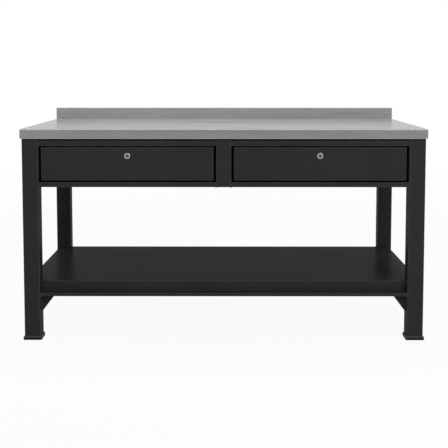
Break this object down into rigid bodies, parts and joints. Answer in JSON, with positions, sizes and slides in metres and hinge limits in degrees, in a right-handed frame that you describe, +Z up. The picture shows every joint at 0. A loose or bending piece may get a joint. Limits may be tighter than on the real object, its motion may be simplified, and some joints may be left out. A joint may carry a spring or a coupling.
{
  "type": "workbench",
  "caption": "Steel workbench on square-tube legs: sheet-metal worktop with rear upstand, lockable drawers on telescopic slides and a lower shelf tray.",
  "frame": {"origin": "on the floor under the middle of the worktop", "axes": "+X to the right seen from the front, +Y to the back, +Z up"},
  "size_m": [1.5, 0.75, 0.84],
  "materials": {
    "black_coat": "semi-gloss black powder coat, fine texture",
    "drawer_coat": "satin black powder coat inside the drawers",
    "worktop_steel": "satin grey steel sheet, lightly brushed along its length",
    "board": "raw chipboard",
    "foot_plastic": "matte black moulded plastic",
    "lock_chrome": "bright nickel-chrome plate",
    "lock_plug": "satin nickel plate, duller than the bezel",
    "slide_coat": "black electro-coated steel",
    "fastener_zinc": "zinc plate"
  },
  "bodies": {
    "frame": {"bottom_rail_left": "black_coat", "bottom_rail_rear": "black_coat", "bottom_rail_right": "black_coat", "centre_partition": "black_coat", "centre_post": "black_coat", "foot_front_left": "foot_plastic", "foot_front_right": "foot_plastic", "foot_rear_left": "foot_plastic", "foot_rear_right": "foot_plastic", "frame_screws": "fastener_zinc", "gussets": "black_coat", "housing_floor": "black_coat", "left_drawer_outer_slides": "slide_coat", "leg_front_left": "black_coat", "leg_front_right": "black_coat", "leg_rear_left": "black_coat", "leg_rear_right": "black_coat", "lower_rail_front": "black_coat", "lower_rail_rear": "black_coat", "rear_panel": "black_coat", "right_drawer_outer_slides": "slide_coat", "runner_support_left": "black_coat", "runner_support_right": "black_coat", "shelf_stiffener": "black_coat", "shelf_tray": "black_coat", "side_bottom_rail_left": "black_coat", "side_bottom_rail_right": "black_coat", "side_panel_left": "black_coat", "side_panel_right": "black_coat", "side_top_rail_left": "black_coat", "side_top_rail_right": "black_coat", "top_rail_left": "black_coat", "top_rail_rear": "black_coat", "top_rail_right": "black_coat", "worktop_core": "board", "worktop_sheet": "worktop_steel"},
    "left_drawer": {"left_drawer_bottom": "drawer_coat", "left_drawer_front": "black_coat", "left_drawer_inner_slides": "slide_coat", "left_drawer_screws": "fastener_zinc", "left_drawer_walls": "drawer_coat", "left_lock_body": "lock_chrome", "left_lock_nut": "fastener_zinc"},
    "left_slides": {"left_drawer_middle_slides": "slide_coat"},
    "left_lock": {"left_lock_cam": "fastener_zinc", "left_lock_plug": "lock_plug", "left_lock_screw": "fastener_zinc"},
    "right_drawer": {"right_drawer_bottom": "drawer_coat", "right_drawer_front": "black_coat", "right_drawer_inner_slides": "slide_coat", "right_drawer_screws": "fastener_zinc", "right_drawer_walls": "drawer_coat", "right_lock_body": "lock_chrome", "right_lock_nut": "fastener_zinc"},
    "right_slides": {"right_drawer_middle_slides": "slide_coat"},
    "right_lock": {"right_lock_cam": "fastener_zinc", "right_lock_plug": "lock_plug", "right_lock_screw": "fastener_zinc"}
  },
  "joints": [
    {"name": "left_drawer_slide", "type": "slide", "parent": "frame", "child": "left_drawer", "axis": [0, -1, 0], "range_m": [0, 0.5]},
    {"name": "left_slides_slide", "type": "slide", "parent": "frame", "child": "left_slides", "axis": [0, -1, 0], "range_m": [0, 0.25]},
    {"name": "left_lock_turn", "type": "hinge", "parent": "left_drawer", "child": "left_lock", "pos_m": [-0.3565, -0.357, 0.69], "axis": [0, -1, 0], "range_deg": [0, 90]},
    {"name": "right_drawer_slide", "type": "slide", "parent": "frame", "child": "right_drawer", "axis": [0, -1, 0], "range_m": [0, 0.5]},
    {"name": "right_slides_slide", "type": "slide", "parent": "frame", "child": "right_slides", "axis": [0, -1, 0], "range_m": [0, 0.25]},
    {"name": "right_lock_turn", "type": "hinge", "parent": "right_drawer", "child": "right_lock", "pos_m": [0.3565, -0.357, 0.69], "axis": [0, -1, 0], "range_deg": [0, 90]}
  ],
  "couplings": [
    {"joint": "left_slides_slide", "follows": "left_drawer_slide", "ratio": 0.5},
    {"joint": "right_slides_slide", "follows": "right_drawer_slide", "ratio": 0.5}
  ]
}
